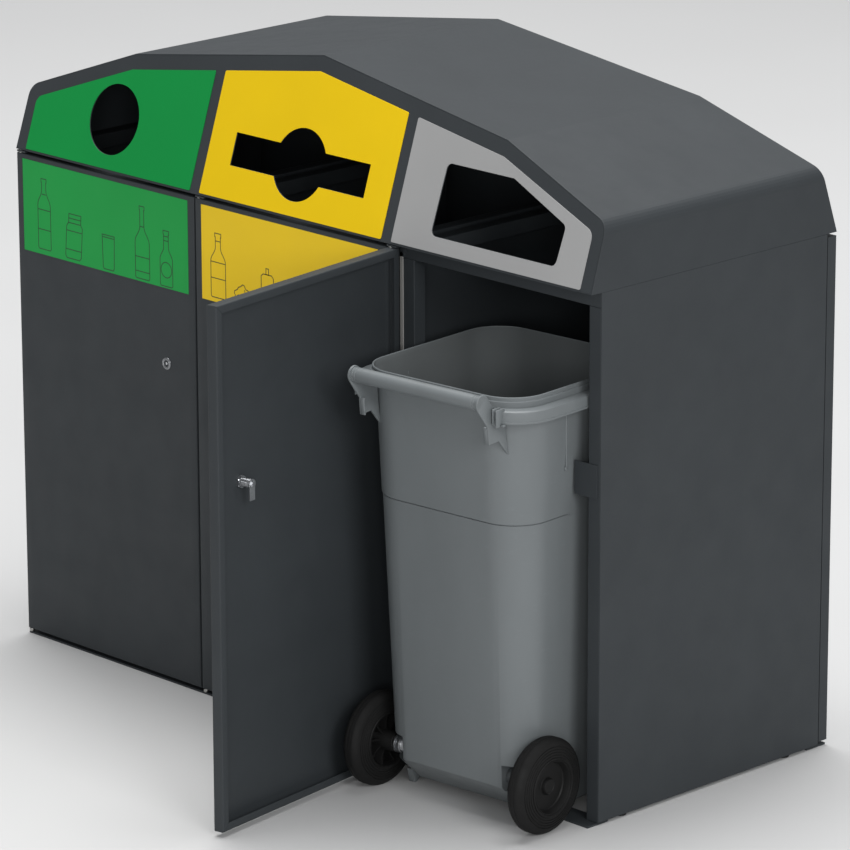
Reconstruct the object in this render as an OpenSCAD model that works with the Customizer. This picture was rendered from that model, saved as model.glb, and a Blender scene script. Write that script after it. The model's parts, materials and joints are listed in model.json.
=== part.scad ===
// Three-bay recycling bin station: a steel housing with a four-slope hood, three doors hung on
// pivots, and three two-wheeled bins. The right door stands open and the right bin is rolled out.
// Origin: centre of the housing's footprint on the floor. +X to the viewer's right, -Y to the
// front, +Z up. Millimetres.

/* [Body] */
// Width across the side panels
body_w = 1750; // [1700:5:1850]
// Depth across the closed doors and the rear panels
body_d = 720; // [715:5:780]
// Height of the body, up to the hood's lower edge
body_h = 1112; // [1090:2:1180]

/* [Hood] */
// Height of the hood's side walls above the body
hood_side_h = 136; // [120:2:160]
// Height of the outer roof folds above the body
hood_fold_h = 247; // [236:1:260]
// Height of the ridge above the body
hood_ridge_h = 328; // [310:2:350]
// Half the distance between the two outer roof folds
hood_fold_x = 562.5; // [540:2.5:580]
// Inward lean of the hood's front and rear faces, per unit of height
hood_lean = 0.325; // [0.28:0.005:0.36]
// Thickness of the roof sheet
roof_t = 2.5; // [2:0.5:3]
// Radius of the hood's upper side corners
hood_corner_r = 34; // [20:2:40]

/* [Aperture panels] */
// Diameter of the round openings
aperture_d = 155; // [130:5:160]
// Height of the apertures' centre above the body
aperture_h = 107; // [105:1:110]
// Width of the letterbox slot in the middle panel
slot_w = 407; // [360:5:420]
// Height of that slot
slot_h = 68; // [50:2:80]
// Thickness of the coloured panels
panel_t = 1.5; // [1:0.5:2]

/* [Doors] */
// Thickness of the doors and the rear panels
pan_d = 25; // [22:1:26]
// Sheet thickness of the pans, side panels and partitions
sheet_t = 2; // [1.5:0.5:2]
// Width of the return lips around a pan
lip_w = 17; // [12:1:20]
// Gap between the edges of neighbouring doors
door_gap = 4; // [4:0.5:6]
// How far each door stands open at rest: left, middle, right
door_angles = [0, 0, 82];
// Height of the locks above the floor
lock_z = 722; // [600:10:900]

/* [Frame] */
// Side of the square frame tubes
tube = 32; // [30:1:34]
// Wall thickness of the frame tubes
tube_t = 2; // [1.5:0.5:2.5]
// Thickness of the flat floor bars
base_t = 4; // [3:0.5:4]
// Width of the flat floor bars
base_w = 58; // [56:1:60]
// Distance between the floor anchors along X
anchor_x = 1520; // [1480:10:1540]

/* [Bins] */
// Overall width of a bin across its rim
bin_w = 484; // [470:2:486]
// Height of a bin's rim
rim_z = 914; // [900:2:930]
// Diameter of the wheels
wheel_d = 200; // [196:2:204]
// Width of a tyre beside the hub
tyre_w = 48; // [44:2:50]
// Distance between the middles of the two tyres
track = 438; // [438:1:442]
// Diameter of the axle
axle_d = 20; // [18:1:22]
// Distance of the stored bins' axles in front of the housing's centre
stored_axle = 145; // [135:5:150]
// Where the rolled-out bin's axle stands
out_axle = [603, -452];
// How far the rolled-out bin is turned
out_yaw = 4.9; // [0:0.1:5]

/* [Hidden] */
BAYS = ["left", "middle", "right"];
$fn = 48;
eps = 0.01;

// Colours
dark_grey = [0.20, 0.22, 0.23];
bin_grey = [0.42, 0.44, 0.45];
black = [0.10, 0.10, 0.10];
steel = [0.75, 0.75, 0.73];
bay_colours = [[0.11, 0.56, 0.27], [0.93, 0.80, 0.12], [0.66, 0.66, 0.66]];

// Housing
pitch = body_w / 3;
bay_x = [-pitch, 0, pitch];
front_y = -body_d / 2;
pan_gap = 4;
frame_y = body_d / 2 - pan_d - pan_gap;
post_y = frame_y - tube / 2;
side_post_x = body_w / 2 - sheet_t - tube / 2;
hinge_post_off = 37.5;
latch_post_off = (tube + sheet_t) / 2;
post_lines = [
    -side_post_x, -pitch / 2 - latch_post_off, -pitch / 2 + hinge_post_off,
    pitch / 2 - latch_post_off, pitch / 2 + hinge_post_off, side_post_x
];
side_rail_z = 8;
panel_bottom_z = 6;
base_front_y = body_d / 2 - 2;

// Doors
door_bottom_z = 11.4;
door_top_gap = 8;
door_top_z = body_h - door_top_gap;
door_w = pitch - door_gap;
pivot_off = 6.5;
pin_d = 8;
running = 0.05;
pivot_lift = 0.4;
bush_d = 14;
bracket_t = 4;
bracket_w = 26;
lock_inset = 94;
lock_thread_d = 19;
lock_flange_d = 27;
lock_len = 30;
lock_plug_d = 14;
cam_len = 34;
cam_t = 3;
strike_w = 62;
strike_lap = 26;
strike_t = 2.5;
strike_h = 70;
label_w = 540;
label_h = 205;
label_t = 0.4;

// Hood
cut_h = hood_ridge_h + 60;
flange_w = 40;
hood_bolt_y = 205;
bolt_d = 8;
hood_border = 33;
mullion = 30;
panel_rise = 5;
aperture_rise = 72;

// Bins: each slice is half a width, front, back, corner radius and height, from the axle's line
handle_d = 31;
handle_y = -131;
handle_w = 330;
bracket_x = 167;
bracket_hub_d = 36;
rib_t = 5;
axle_z = wheel_d / 2;
rim_front_y = -77;
rim_back_y = 355;
lip_h = 20;
collar_h = 26;
collar_z = rim_z - lip_h - collar_h;
collar_in = 24;
collar_t = 4;
collar_r = 96;
tub_wall = 4;
step_z = rim_z - 266;
tub_top = [212, -72, 354, 90, collar_z + collar_h - 2];
tub_above_step = [204, -60, 342, 84, step_z];
tub_below_step = [202, -58, 340, 82, step_z];
tub_edge = [186, -28, 323, 66, 79];
tub_foot = [180, 42, 318, 40, 18];
well_top = [181, 64, 319, 40, 143];
well_foot = [176, 64, 314, 36, 24];
floor_z = 142;
foot_x = 175;
foot_w = 16;
rear_foot = [24, 26, 20];
rear_foot_y = 280;
side_rib = [8, rib_t, 130];
recess_x = 132;
recess_h = 58;
recess_d = 50;
pocket = [220, 56, 80];
shoulder_d = 40;
hub_seat_d = 124;
nave_r = 20;
nave_in = 48;
hub_w = 52;
hub_disc_t = 5;
spoke_t = 4;
axle_out = 12;
cap_out = 17;

// ---- outlines -------------------------------------------------------------------------------

function unit(v) = v / norm(v);

// Points of the arc that rounds corner b, between its neighbours a and c
function arc_corner(a, b, c, r, n) =
    let (
        u = unit(a - b),
        w = unit(c - b),
        half = acos(u * w) / 2,
        centre = b + unit(u + w) * r / sin(half),
        from = b + u * r / tan(half) - centre,
        to = b + w * r / tan(half) - centre,
        start = atan2(from.y, from.x),
        raw = atan2(to.y, to.x) - start,
        turn = raw > 180 ? raw - 360 : raw < -180 ? raw + 360 : raw
    )
    [for (i = [0:n]) centre + r * [cos(start + turn * i / n), sin(start + turn * i / n)]];

// A closed outline whose corner i has radius radii[i]
function rounded(pts, radii, n = 6) = [
    for (i = [0:len(pts) - 1])
        each radii[i] > 0
            ? arc_corner(pts[(i + len(pts) - 1) % len(pts)], pts[i], pts[(i + 1) % len(pts)], radii[i], n)
            : [pts[i]]
];

// A rectangle with four round corners, made of squares and circles
module round_rect(x0, x1, y0, y1, r) {
    translate([x0 + r, y0]) square([x1 - x0 - 2 * r, y1 - y0]);
    translate([x0, y0 + r]) square([x1 - x0, y1 - y0 - 2 * r]);
    for (x = [x0 + r, x1 - r], y = [y0 + r, y1 - r]) translate([x, y]) circle(r);
}

// The hood's outline seen from the front, in X and Z, from a level drop below its lower edge
function hood_outline(drop = 0) = rounded(
    [
        [-body_w / 2, body_h - drop],
        [-body_w / 2 + 3, body_h + hood_side_h],
        [-hood_fold_x, body_h + hood_fold_h],
        [0, body_h + hood_ridge_h],
        [hood_fold_x, body_h + hood_fold_h],
        [body_w / 2 - 3, body_h + hood_side_h],
        [body_w / 2, body_h - drop]
    ],
    [0, hood_corner_r, 12, 12, 12, hood_corner_r, 0]
);

// Height of the roof above x, measured on straight lines between its folds
function roof_z(x) =
    let (a = abs(x))
    a < hood_fold_x
        ? body_h + hood_ridge_h - (hood_ridge_h - hood_fold_h) * a / hood_fold_x
        : body_h + hood_fold_h - (hood_fold_h - hood_side_h) * (a - hood_fold_x)
            / (body_w / 2 - 3 - hood_fold_x);

// Extrudes an X-Z outline along Y, and a Y-Z outline along X
module along_y(length) {
    rotate([90, 0, 0]) linear_extrude(height = length, center = true) children();
}
module along_x(length) {
    rotate([90, 0, 90]) linear_extrude(height = length, center = true) children();
}

// The slab behind the hood's leaning front face, from depth a to depth b
module front_slab(a, b) {
    along_x(body_w + 20) polygon([
        [front_y + a, body_h], [front_y + b, body_h],
        [front_y + b + hood_lean * cut_h, body_h + cut_h],
        [front_y + a + hood_lean * cut_h, body_h + cut_h]
    ]);
}

module square_tube(length) {
    difference() {
        translate([-tube / 2, -tube / 2, 0]) cube([tube, tube, length]);
        translate([tube_t - tube / 2, tube_t - tube / 2, -1])
            cube([tube - 2 * tube_t, tube - 2 * tube_t, length + 2]);
    }
}

// ---- frame ----------------------------------------------------------------------------------

module base_plates() {
    color(dark_grey) difference() {
        for (y = [-base_front_y, base_front_y - base_w]) translate([-body_w / 2 + 4, y, 0])
            cube([body_w - 8, base_w, base_t]);
        for (x = [-anchor_x / 2, anchor_x / 2], y = [-post_y, post_y])
            translate([x, y, -1]) cylinder(d = 13, h = base_t + 2);
        for (i = [0:2]) translate([pivot_x(i), pivot_y(), -1])
            cylinder(d = pin_d + 2 * running, h = base_t + 2);
    }
}

module levelling_feet() {
    color(black) for (x = post_lines, y = [-250, 240]) translate([x, y, 0]) {
        cylinder(d = 27, h = side_rail_z);
    }
}

module frame_posts() {
    color(dark_grey) for (x = post_lines, y = [-post_y, post_y])
        translate([x, y, base_t]) square_tube(body_h - tube - base_t);
}

module top_cross_rails() {
    color(dark_grey) for (y = [-post_y, post_y])
        translate([-body_w / 2 + sheet_t, y, body_h - tube / 2]) rotate([0, 90, 0])
            square_tube(body_w - 2 * sheet_t);
}

module top_side_rails() {
    color(dark_grey) difference() {
        for (x = post_lines) translate([x, frame_y - tube, body_h - tube / 2]) rotate([90, 0, 0])
            square_tube(2 * (frame_y - tube));
        for (x = [-side_post_x, side_post_x], y = [-hood_bolt_y, hood_bolt_y])
            translate([x, y, body_h - tube - 1]) cylinder(d = bolt_d + 2 * running, h = tube + 2);
    }
}

module bottom_side_rails() {
    color(dark_grey) for (x = post_lines)
        translate([x, frame_y - tube, side_rail_z + tube / 2]) rotate([90, 0, 0])
            square_tube(2 * (frame_y - tube));
}

module side_panel(side) {
    color(dark_grey) translate([side * (body_w / 2 - sheet_t / 2) - sheet_t / 2, -frame_y, panel_bottom_z])
        cube([sheet_t, 2 * frame_y, body_h - panel_bottom_z]);
}

module partition(side) {
    color(dark_grey) translate([side * pitch / 2 - sheet_t / 2, -frame_y, side_rail_z])
        cube([sheet_t, 2 * frame_y, body_h - tube - side_rail_z]);
}

// A folded pan standing in the X-Z plane, its face at y = 0 and its lips towards +Y
module pan(w, h) {
    difference() {
        cube([w, pan_d, h]);
        translate([sheet_t, sheet_t, sheet_t])
            cube([w - 2 * sheet_t, pan_d - 2 * sheet_t, h - 2 * sheet_t]);
        translate([lip_w, sheet_t, lip_w]) cube([w - 2 * lip_w, pan_d, h - 2 * lip_w]);
    }
}

module rear_panel(i) {
    color(dark_grey) translate([bay_x[i] + door_w / 2, body_d / 2, door_bottom_z]) rotate([0, 0, 180])
        pan(door_w, door_top_z - door_bottom_z);
    color(dark_grey) for (x = [post_lines[2 * i], post_lines[2 * i + 1]], z = [200, door_top_z - 200])
        translate([x, body_d / 2 - sheet_t, z]) rotate([90, 0, 0])
            cylinder(d = 12, h = pan_d + pan_gap - sheet_t);
}

// ---- hood -----------------------------------------------------------------------------------

module roof_skin() {
    color(dark_grey) difference() {
        intersection() {
            along_y(body_d) difference() {
                polygon(hood_outline());
                hood_inside();
            }
            between_faces();
        }
        for (x = [-side_post_x, side_post_x], y = [-hood_bolt_y, hood_bolt_y])
            translate([x, y, body_h - 1]) cylinder(d = bolt_d + 2 * running, h = roof_t + 2);
    }
}

// The space between the hood's two leaning faces
module between_faces() {
    along_x(body_w + 20) polygon([
        [front_y, body_h], [-front_y, body_h],
        [-front_y - hood_lean * cut_h, body_h + cut_h], [front_y + hood_lean * cut_h, body_h + cut_h]
    ]);
}

// What is left of the hood's outline inside the roof sheet and its two lower flanges
module hood_inside() {
    difference() {
        offset(delta = -roof_t) polygon(hood_outline(20));
        for (x = [-body_w / 2, body_w / 2 - flange_w])
            translate([x, body_h - 1]) square([flange_w, roof_t + 1]);
    }
}

// Each panel's outline: straight on the roof, with its outer top corner rounded
function panel_outline(i) =
    let (
        low = body_h + panel_rise,
        inner = pitch / 2 - mullion / 2,
        outer = pitch / 2 + mullion / 2,
        edge = body_w / 2 - hood_border
    )
    i == 1
        ? rounded(
            [
                [-inner, low], [-inner, roof_z(inner) - hood_border],
                [0, body_h + hood_ridge_h - hood_border], [inner, roof_z(inner) - hood_border], [inner, low]
            ],
            [3, 3, 0, 3, 3]
        )
        : [for (p = rounded(
            [
                [outer, low], [outer, roof_z(outer) - hood_border],
                [hood_fold_x, body_h + hood_fold_h - hood_border],
                [edge, body_h + hood_side_h - hood_border + 12], [edge, low]
            ],
            [3, 3, 6, 22, 3]
        )) [i == 0 ? -p.x : p.x, p.y]];

// The openings: a round hole, a slot with a round middle, and a five-sided mouth
module aperture(i) {
    centre_z = body_h + aperture_h;
    if (i < 2) translate([bay_x[i], centre_z]) scale([1, cos(atan(hood_lean))]) circle(d = aperture_d);
    if (i == 1) translate([-slot_w / 2, centre_z - slot_h / 2]) square([slot_w, slot_h]);
    if (i == 2) {
        low = centre_z - aperture_rise;
        high = centre_z + aperture_rise;
        polygon(rounded(
            [
                [bay_x[2] - 172, low], [bay_x[2] - 168, high], [bay_x[2] + 21, high],
                [bay_x[2] + 186, centre_z + 8], [bay_x[2] + 181, low]
            ],
            [14, 14, 14, 14, 14]
        ));
    }
}

module hood_front() {
    color(dark_grey) intersection() {
        front_slab(0, roof_t);
        along_y(body_d + 20) difference() {
            hood_inside();
            for (i = [0:2]) aperture(i);
        }
    }
}

module hood_rear() {
    color(dark_grey) mirror([0, 1, 0]) intersection() {
        front_slab(0, roof_t);
        along_y(body_d + 20) hood_inside();
    }
}

module aperture_panel(i) {
    color(bay_colours[i]) intersection() {
        front_slab(-panel_t, 0);
        along_y(body_d + 20) difference() {
            polygon(panel_outline(i));
            aperture(i);
        }
    }
}

module hood_bolts() {
    color(steel) for (x = [-side_post_x, side_post_x], y = [-hood_bolt_y, hood_bolt_y])
        translate([x, y, body_h - tube - 5]) {
            cylinder(d = 15, h = 5, $fn = 6);
            cylinder(d = bolt_d, h = tube + 18);
        }
}

module hood_nuts() {
    color(steel) for (x = [-side_post_x, side_post_x], y = [-hood_bolt_y, hood_bolt_y])
        translate([x, y, body_h + roof_t]) difference() {
            cylinder(d = 15, h = 6.5, $fn = 6);
            translate([0, 0, -1]) cylinder(d = bolt_d + 2 * running, h = 9);
        }
}

// ---- door pivots and doors ------------------------------------------------------------------

function pivot_x(i) = bay_x[i] - pitch / 2 + door_gap / 2 + pivot_off;
function pivot_y() = front_y + pivot_off;

// A lug over each door's top pivot pin, with a foot on the lintel
module pivot_brackets() {
    lug_z = door_top_z + 2;
    color(dark_grey) for (i = [0:2]) difference() {
        union() {
            translate([pivot_x(i) - 6, front_y + 1, lug_z])
                cube([bracket_w, body_d / 2 - frame_y - 1, bracket_t]);
            translate([pivot_x(i) - 6, -frame_y - 2, body_h - tube + 2])
                cube([bracket_w, 2, tube - 4]);
        }
        translate([pivot_x(i), pivot_y(), lug_z - 1]) cylinder(d = pin_d + 2 * running, h = bracket_t + 2);
    }
}

// A flanged ring on the floor bar that carries the door's weight
module pivot_bushes() {
    color(steel) for (i = [0:2]) translate([pivot_x(i), pivot_y(), base_t]) difference() {
        cylinder(d = bush_d - 2, h = door_bottom_z - base_t - pivot_lift);
        translate([0, 0, -1]) cylinder(d = pin_d + 2 * running, h = 12);
    }
}

// Places a bay's door parts, which are drawn closed with the pivot at the origin
module hang_door(i) {
    translate([pivot_x(i), pivot_y(), 0]) rotate([0, 0, -door_angles[i]]) children();
}

module door(i) {
    color(dark_grey) hang_door(i) difference() {
        translate([-pivot_off, -pivot_off, door_bottom_z]) pan(door_w, door_top_z - door_bottom_z);
        translate([door_w - pivot_off - lock_inset, -pivot_off - 1, lock_z]) rotate([-90, 0, 0])
            cylinder(d = lock_thread_d + 2 * running, h = sheet_t + 2);
        for (z = [door_bottom_z - 1, door_top_z - sheet_t - 1])
            translate([0, 0, z]) cylinder(d = pin_d + 2 * running, h = sheet_t + 2);
    }
}

module door_label(i) {
    color(bay_colours[i]) hang_door(i)
        translate([door_w / 2 - pivot_off - label_w / 2, -pivot_off - label_t, door_top_z - 10 - label_h])
            cube([label_w, label_t, label_h]);
}

// The two pins stand through the pan's edges, each with a collar inside the pan
module pivot_pins(i) {
    bottom = door_bottom_z + sheet_t;
    top = door_top_z - sheet_t;
    color(steel) hang_door(i) {
        translate([0, 0, 0.5]) cylinder(d = pin_d, h = bottom + 14);
        translate([0, 0, bottom]) cylinder(d = bush_d - 5.5, h = 14);
        translate([0, 0, top - 14]) cylinder(d = pin_d, h = 14 + sheet_t + 5.5);
        translate([0, 0, top - 14]) cylinder(d = bush_d - 5.5, h = 14);
    }
}

module at_lock(i) {
    hang_door(i) translate([door_w - pivot_off - lock_inset, -pivot_off, lock_z])
        rotate([-90, 0, 0]) children();
}

module lock_housing(i) {
    color(steel) at_lock(i) difference() {
        union() {
            translate([0, 0, -2]) cylinder(d = lock_flange_d, h = 2);
            cylinder(d = lock_thread_d, h = lock_len);
        }
        translate([0, 0, -3]) cylinder(d = lock_plug_d + 2 * running, h = lock_len + 4);
    }
}

module lock_nut(i) {
    color(steel) at_lock(i) translate([0, 0, sheet_t]) difference() {
        cylinder(d = 28, h = 6, $fn = 6);
        translate([0, 0, -1]) cylinder(d = lock_thread_d + 2 * running, h = 8);
    }
}

// The plug with its triangular key head, and the cam that turns behind the strike plate
module lock_cam(i) {
    color(steel) at_lock(i) {
        translate([0, 0, 4]) cylinder(d = lock_plug_d, h = lock_len - 4 + cam_t + 0.5);
        translate([0, 0, -1]) cylinder(d = 9, h = 6, $fn = 3);
        translate([0, 0, lock_len + 0.5]) {
            translate([-8, 0, 0]) cube([16, cam_len, cam_t]);
            cylinder(d = 20, h = cam_t);
            cylinder(d = 11, h = cam_t + 3, $fn = 6);
        }
    }
}

// A tab welded to the front of the post beside each lock: the cam turns behind it
module strike_plates() {
    color(dark_grey) for (i = [0:2])
        translate([
            post_lines[2 * i + 1] - tube / 2 + strike_lap - strike_w, -frame_y - strike_t,
            lock_z - strike_h / 2
        ])
            cube([strike_w, strike_t, strike_h]);
}

// ---- bins -----------------------------------------------------------------------------------

// Places a bay's bin parts, which are drawn with the axle's middle above the origin
module place_bin(i) {
    if (i == 2) translate([out_axle.x, out_axle.y, 0]) rotate([0, 0, out_yaw]) children();
    else translate([bay_x[i] + stored_shift(i), -stored_axle, 0]) children();
}

// The bays are not quite centred between their posts, and the bins follow the posts
function stored_shift(i) = (post_lines[2 * i] + post_lines[2 * i + 1]) / 2 - bay_x[i];

// A thin rounded slice of the tub, moved inwards by wall, at its own height or at z
module slice(s, wall = 0, z = -1) {
    translate([0, 0, z < 0 ? s[4] : z]) linear_extrude(height = eps)
        round_rect(-s[0] + wall, s[0] - wall, s[1] + wall, s[2] - wall, s[3] - wall / 2, $fn = 32);
}

module bin_tub(i) {
    color(bin_grey) place_bin(i) {
        difference() {
            tub_solid();
            hull() {
                slice(tub_top, tub_wall, rim_z);
                slice(tub_edge, tub_wall, floor_z);
            }
            hull() {
                slice(well_top);
                slice(well_foot);
            }
            axle_space();
        }
        bin_collar();
        bin_handle();
    }
}

// The body with its fine step, its undercut, its feet and the two ribs under the rim
module tub_solid() {
    hull() {
        slice(tub_top);
        slice(tub_above_step);
    }
    hull() {
        slice(tub_below_step);
        slice(tub_edge);
    }
    hull() {
        slice(tub_edge);
        slice(tub_foot);
    }
    for (side = [-1, 1]) {
        translate([side * foot_x, 0, 0]) along_x(foot_w) polygon([[42, 30], [48, 0], [56, 0], [90, 30]]);
        translate([side * foot_x - rear_foot.x / 2, rear_foot_y, base_t + 0.5]) cube(rear_foot);
        translate([side * 209 - side_rib.x / 2, 74, rim_z - 174]) cube(side_rib);
    }
}

// The axle's bore, the pocket around its middle and the recess beside each wheel
module axle_space() {
    translate([-pocket.x / 2, -14, axle_z - 50]) cube(pocket);
    translate([-tub_top[0], 0, axle_z]) rotate([0, 90, 0])
        cylinder(d = axle_d + 2 * running, h = 2 * tub_top[0]);
    for (x = [-recess_x - 80, recess_x]) translate([x, -recess_d, axle_z - recess_h / 2])
        cube([80, recess_d + shoulder_d / 2 + 2, recess_h]);
}

// The rim: a flat flange with a skirt, both open in front for the hands, and an upright lip
module bin_collar() {
    half = bin_w / 2;
    front = rim_front_y - collar_in;
    back = rim_back_y + 27;
    difference() {
        translate([0, 0, collar_z]) union() {
            linear_extrude(height = collar_h) difference() {
                round_rect(-half, half, front, back, collar_r);
                round_rect(
                    -half + collar_t, half - collar_t, front + collar_t, back - collar_t,
                    collar_r - collar_t
                );
            }
            translate([0, 0, collar_h - collar_t]) linear_extrude(height = collar_t) difference() {
                round_rect(-half, half, front, back, collar_r);
                round_rect(
                    -tub_top[0] + tub_wall, tub_top[0] - tub_wall, tub_top[1] + tub_wall,
                    tub_top[2] - tub_wall, tub_top[3] - tub_wall
                );
            }
        }
        translate([-bracket_x, front - 6, collar_z - 1])
            cube([2 * bracket_x, collar_in + 1, collar_h + 2]);
    }
    rim_lip(half - 26);
}

// The upright lip, whose top is the bin's rim
module rim_lip(half) {
    translate([0, 0, rim_z - lip_h - eps]) linear_extrude(height = lip_h + eps) difference() {
        round_rect(-half, half, rim_front_y - rib_t, rim_back_y + rib_t, 86);
        round_rect(-half + rib_t, half - rib_t, rim_front_y, rim_back_y, 86 - rib_t);
    }
}

// The grip tube in front of the rim, on two hooked brackets
module bin_handle() {
    translate([-handle_w / 2, handle_y, rim_z]) rotate([0, 90, 0]) cylinder(d = handle_d, h = handle_w);
    for (side = [-1, 1]) translate([side * bracket_x, 0, rim_z]) along_x(rib_t) {
        translate([handle_y, 0]) circle(d = bracket_hub_d);
        polygon([
            [handle_y - 14, -11], [-114, -52], [-111, -88], [-81, -88], [-56, -120],
            [-65, -38], [-98, -22], [-116, 9]
        ]);
    }
}

// The axle, with two collars beside each wheel that keep it off the tub
module bin_axle(i) {
    length = track + 2 * axle_out;
    collar_end = track / 2 - nave_in - 3;
    color(steel) place_bin(i) translate([0, 0, axle_z]) rotate([0, 90, 0]) {
        cylinder(d = axle_d, h = length, center = true);
        for (side = [0, 1]) mirror([0, 0, side]) {
            translate([0, 0, recess_x + 0.5]) cylinder(d = 30, h = collar_end - recess_x - 0.5);
            translate([0, 0, collar_end - 17]) cylinder(d = shoulder_d - 3, h = 10);
            translate([0, 0, collar_end - 5]) cylinder(d = shoulder_d, h = 5);
        }
    }
}

// Wheel parts are drawn around X, with the outer side towards +X, and mirrored for side -1
module at_wheel(i, side) {
    place_bin(i) translate([side * track / 2, 0, axle_z]) rotate([0, 90 * side, 0]) children();
}

module tyre(i, side) {
    r = wheel_d / 2;
    half = tyre_w / 2;
    color(black) at_wheel(i, side) rotate_extrude($fn = 96) polygon(rounded(
        [
            [hub_seat_d / 2, -half], [r - 9, 5 - half], [r, 15 - half], [r, half - 15],
            [r - 9, half - 5], [hub_seat_d / 2, half]
        ],
        [0, 9, 7, 7, 9, 0], 4
    ));
}

// Rim, disc, ribs and a nave whose outer end is closed by a cap
module hub(i, side) {
    seat = hub_seat_d / 2;
    color(black) at_wheel(i, side) difference() {
        union() {
            rotate_extrude($fn = 96) polygon([
                [nave_r - 4, -nave_in], [nave_r, -nave_in], [nave_r + 3, 2], [seat - 8, 2],
                [seat - 7, -hub_w / 2], [seat, -hub_w / 2], [seat, hub_w / 2], [seat - 6, hub_w / 2],
                [seat - 10, 2 + hub_disc_t], [nave_r - 4, 2 + hub_disc_t]
            ]);
            translate([0, 0, -nave_in]) cylinder(r = nave_r - 3.5, h = nave_in + cap_out);
            for (a = [0:40:320]) rotate([0, 0, a]) translate([nave_r - 1, -spoke_t / 2, 6 - hub_w / 2])
                cube([seat - nave_r - 4, spoke_t, hub_w / 2 - 3]);
        }
        translate([0, 0, -nave_in - 1]) cylinder(d = axle_d + 2 * running, h = nave_in + axle_out + 2);
    }
}

// ---- nodes ----------------------------------------------------------------------------------

base_plates();
levelling_feet();
frame_posts();
top_cross_rails();
top_side_rails();
bottom_side_rails();
side_panel(-1);  // side_panel_left
side_panel(1);  // side_panel_right
partition(-1);  // partition_left
partition(1);  // partition_right
roof_skin();
hood_front();
hood_rear();
pivot_brackets();
pivot_bushes();
strike_plates();
hood_bolts();
hood_nuts();
for (i = [0:2]) {
    rear_panel(i);
    aperture_panel(i);
    door(i);
    door_label(i);
    pivot_pins(i);
    lock_housing(i);
    lock_nut(i);
    lock_cam(i);
    bin_tub(i);
    bin_axle(i);
    tyre(i, -1);
    tyre(i, 1);
    hub(i, -1);
    hub(i, 1);
}
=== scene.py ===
import json
import math

import bmesh
import bpy
from mathutils import Matrix, Vector

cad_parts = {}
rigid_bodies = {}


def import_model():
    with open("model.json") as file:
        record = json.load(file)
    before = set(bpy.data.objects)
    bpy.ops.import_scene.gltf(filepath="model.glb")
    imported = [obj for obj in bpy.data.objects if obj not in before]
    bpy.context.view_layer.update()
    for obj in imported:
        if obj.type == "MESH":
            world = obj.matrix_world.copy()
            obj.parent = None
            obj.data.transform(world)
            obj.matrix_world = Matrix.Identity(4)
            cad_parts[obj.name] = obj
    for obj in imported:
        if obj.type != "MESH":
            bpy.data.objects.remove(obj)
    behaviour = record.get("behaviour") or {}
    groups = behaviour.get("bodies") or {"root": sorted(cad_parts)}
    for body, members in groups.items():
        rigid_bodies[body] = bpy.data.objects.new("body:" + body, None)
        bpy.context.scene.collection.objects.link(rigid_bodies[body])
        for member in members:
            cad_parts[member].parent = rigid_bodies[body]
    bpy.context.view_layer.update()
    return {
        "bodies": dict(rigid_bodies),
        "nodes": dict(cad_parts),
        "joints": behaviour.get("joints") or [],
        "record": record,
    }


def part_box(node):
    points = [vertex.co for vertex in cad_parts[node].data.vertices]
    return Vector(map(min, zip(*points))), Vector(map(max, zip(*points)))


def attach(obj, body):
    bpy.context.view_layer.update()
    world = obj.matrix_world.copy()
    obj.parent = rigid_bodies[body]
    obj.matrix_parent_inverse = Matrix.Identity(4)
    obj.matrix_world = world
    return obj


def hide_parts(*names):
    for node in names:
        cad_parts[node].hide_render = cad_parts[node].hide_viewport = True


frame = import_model()
NODES = frame["nodes"]
RECORD = frame["record"]
JOINTS = {joint["name"]: joint for joint in frame["joints"]}
BAYS = ("left", "middle", "right")
MM = 0.001
FLOOR_HALF = 60


# ---- camera, floor and light ----------------------------------------------------------------

def make_camera():
    """A long lens, a little above the hood, looking at the front right corner."""
    azimuth = math.radians(45.93)
    elevation = math.radians(16.36)
    roll = math.radians(-0.16)
    data = bpy.data.cameras.new("camera")
    data.sensor_width = 36
    data.lens = 224.7
    data.clip_end = 200
    camera = bpy.data.objects.new("camera", data)
    bpy.context.scene.collection.objects.link(camera)
    camera.matrix_world = (
        Matrix.Translation((7.8455, -7.5621, 3.7903))
        @ Matrix.Rotation(azimuth, 4, "Z")
        @ Matrix.Rotation(math.pi / 2 - elevation, 4, "X")
        @ Matrix.Rotation(roll, 4, "Z")
    )
    bpy.context.scene.camera = camera


def area_light(name, place, target, size, power):
    """A white rectangular light at place, turned to target."""
    data = bpy.data.lights.new(name, "AREA")
    data.shape = "RECTANGLE"
    data.size, data.size_y = size
    data.energy = power
    light = bpy.data.objects.new(name, data)
    bpy.context.scene.collection.objects.link(light)
    light.location = place
    light.rotation_mode = "QUATERNION"
    light.rotation_quaternion = (Vector(target) - Vector(place)).to_track_quat("-Z", "Y")


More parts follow.
